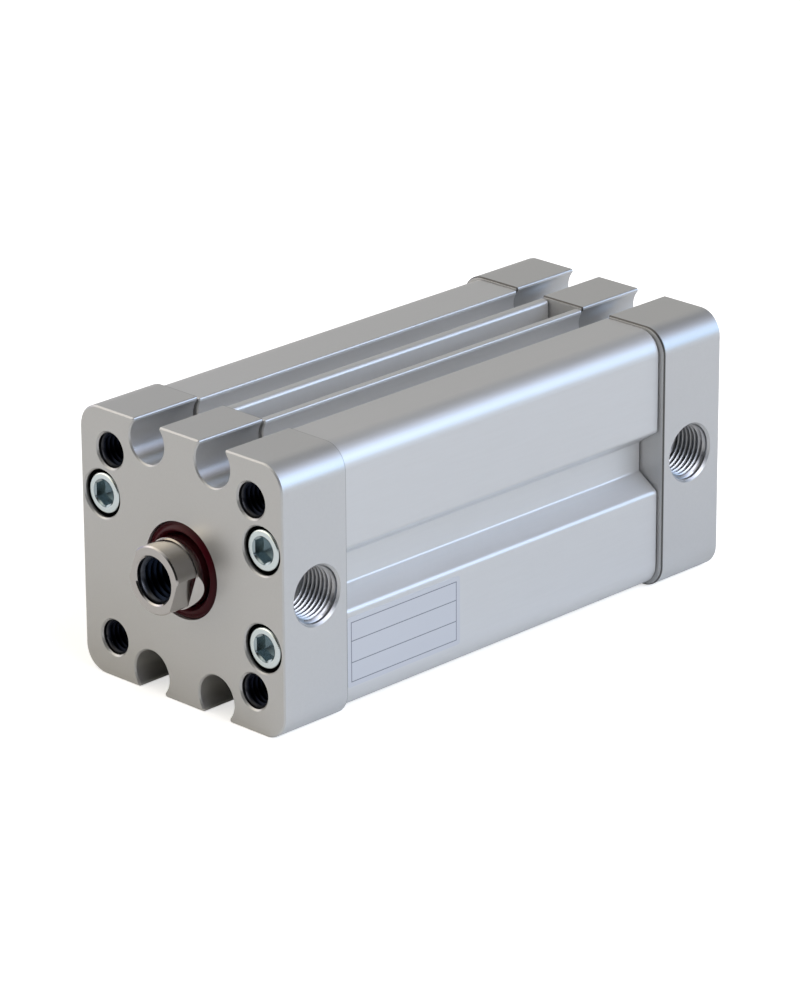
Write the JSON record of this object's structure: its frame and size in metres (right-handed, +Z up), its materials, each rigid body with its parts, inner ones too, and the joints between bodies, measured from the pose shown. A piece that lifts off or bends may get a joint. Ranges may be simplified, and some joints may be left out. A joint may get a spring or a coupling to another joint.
{
  "type": "compact pneumatic cylinder",
  "caption": "Compact pneumatic cylinder with square aluminium covers, an extruded sensor-groove barrel, side ports and a rod with an internal thread.",
  "frame": {"origin": "on the rod's axis, at the front cover's mounting face, with the rod retracted", "axes": "+Y along the barrel to the rear cover, -Y the way the rod extends, +X out of the ports, +Z up"},
  "size_m": [0.0466, 0.1102, 0.0466],
  "materials": {
    "cover_aluminium": "fine bead-blasted and clear anodised",
    "barrel_aluminium": "drawn and clear anodised, satin",
    "rod_steel": "ground and polished stainless steel",
    "wiper_red": "matte polyurethane, dark red",
    "bush_bronze": "sintered plain bearing",
    "screw_steel": "bright zinc plate",
    "label_foil": "pale matte foil",
    "seal_black": "matte nitrile",
    "bumper_rubber": "matte polyurethane",
    "piston_aluminium": "turned",
    "magnet_black": "plastic bonded magnet",
    "guide_plastic": "matte acetal",
    "nut_steel": "zinc plate"
  },
  "bodies": {
    "housing": {"front_cover": "cover_aluminium", "rear_cover": "cover_aluminium", "barrel": "barrel_aluminium", "rod_seal": "wiper_red", "rod_bush": "bush_bronze", "front_barrel_seal": "seal_black", "rear_barrel_seal": "seal_black", "front_cover_screw_upper_left": "screw_steel", "front_cover_screw_upper_right": "screw_steel", "front_cover_screw_lower_right": "screw_steel", "rear_cover_screw_upper_left": "screw_steel", "rear_cover_screw_upper_right": "screw_steel", "rear_cover_screw_lower_right": "screw_steel", "type_label": "label_foil"},
    "piston_packing": {"front_piston_seal": "seal_black", "rear_piston_seal": "seal_black", "piston_guide_ring": "guide_plastic"},
    "rod": {"piston_rod": "rod_steel", "piston_front_half": "piston_aluminium", "piston_rear_half": "piston_aluminium", "magnet_ring": "magnet_black", "rod_o_ring": "seal_black", "front_bumper": "bumper_rubber", "rear_bumper": "bumper_rubber", "piston_nut": "nut_steel"}
  },
  "joints": [
    {"name": "rod_stroke", "type": "slide", "parent": "housing", "child": "piston_packing", "axis": [0, -1, 0], "range_m": [0, 0.06]},
    {"name": "rod_turn", "type": "hinge", "parent": "piston_packing", "child": "rod", "pos_m": [0, 0, 0], "axis": [0, -1, 0], "continuous": true}
  ]
}
